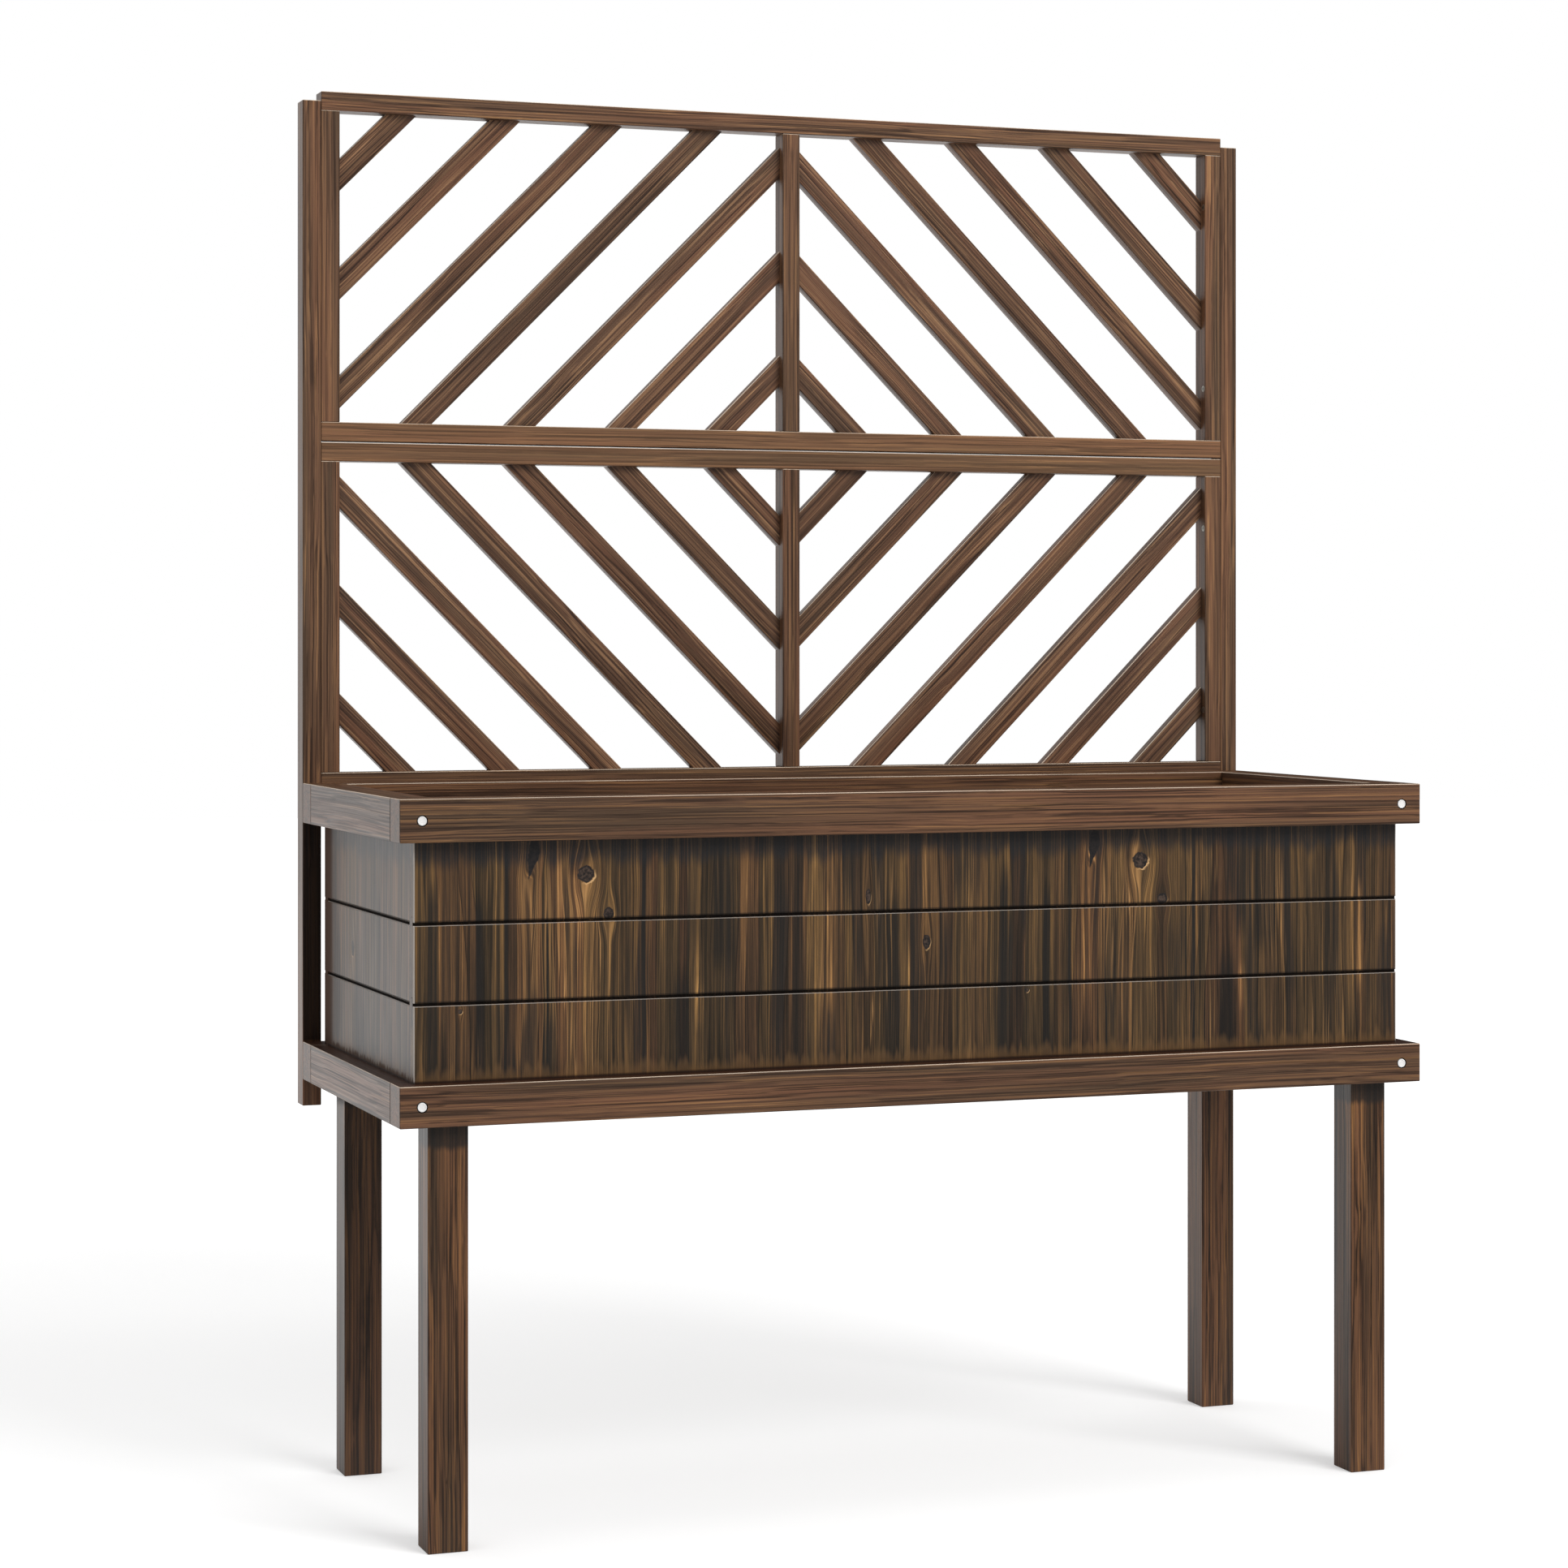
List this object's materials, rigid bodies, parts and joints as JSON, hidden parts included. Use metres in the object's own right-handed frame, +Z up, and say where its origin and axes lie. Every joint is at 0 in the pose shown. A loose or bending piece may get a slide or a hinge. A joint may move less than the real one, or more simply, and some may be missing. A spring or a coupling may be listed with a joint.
{
  "type": "raised planter with trellis",
  "caption": "Raised rectangular wooden planter box of dark grooved boards between two rail frames, on square legs, with a slatted trellis standing behind it.",
  "frame": {"origin": "on the floor, under the middle of the whole object", "axes": "+X along the planter to its right-hand end, +Y towards the trellis at its back, +Z up"},
  "size_m": [1.1, 0.445, 1.455],
  "materials": {
    "frame_wood": "stained, satin",
    "leg_wood": "stained, satin",
    "charred_board": "scorched and brushed, satin",
    "inner_wood": "stained, matte",
    "bright_steel": "bright zinc, satin",
    "zinc_steel": "zinc plated"
  },
  "bodies": {
    "root": {"barrel_nuts": "zinc_steel", "base_board_1": "inner_wood", "base_board_2": "inner_wood", "base_board_3": "inner_wood", "base_board_4": "inner_wood", "base_screws": "zinc_steel", "bearer_left": "inner_wood", "bearer_middle": "inner_wood", "bearer_right": "inner_wood", "bottom_rail_back": "frame_wood", "bottom_rail_front": "frame_wood", "bottom_rail_left": "frame_wood", "bottom_rail_right": "frame_wood", "corner_post_back_left": "inner_wood", "corner_post_back_right": "inner_wood", "corner_post_front_left": "inner_wood", "corner_post_front_right": "inner_wood", "leg_back_left": "leg_wood", "leg_back_right": "leg_wood", "leg_front_left": "leg_wood", "leg_front_right": "leg_wood", "leg_screws": "zinc_steel", "lower_rail_bottom": "frame_wood", "lower_rail_top": "frame_wood", "lower_slats_left": "frame_wood", "lower_slats_right": "frame_wood", "lower_stile_centre": "frame_wood", "lower_stile_left": "frame_wood", "lower_stile_right": "frame_wood", "mid_post_back": "inner_wood", "mid_post_front": "inner_wood", "panel_screws": "zinc_steel", "post_bolts": "bright_steel", "rail_bolts": "bright_steel", "top_rail_back": "frame_wood", "top_rail_front": "frame_wood", "top_rail_left": "frame_wood", "top_rail_right": "frame_wood", "trellis_post_left": "frame_wood", "trellis_post_right": "frame_wood", "upper_rail_bottom": "frame_wood", "upper_rail_top": "frame_wood", "upper_slats_left": "frame_wood", "upper_slats_right": "frame_wood", "upper_stile_centre": "frame_wood", "upper_stile_left": "frame_wood", "upper_stile_right": "frame_wood", "wall_board_back_lower": "charred_board", "wall_board_back_middle": "charred_board", "wall_board_back_upper": "charred_board", "wall_board_front_lower": "charred_board", "wall_board_front_middle": "charred_board", "wall_board_front_upper": "charred_board", "wall_board_left_lower": "charred_board", "wall_board_left_middle": "charred_board", "wall_board_left_upper": "charred_board", "wall_board_right_lower": "charred_board", "wall_board_right_middle": "charred_board", "wall_board_right_upper": "charred_board", "wall_screws": "zinc_steel"}
  },
  "joints": []
}
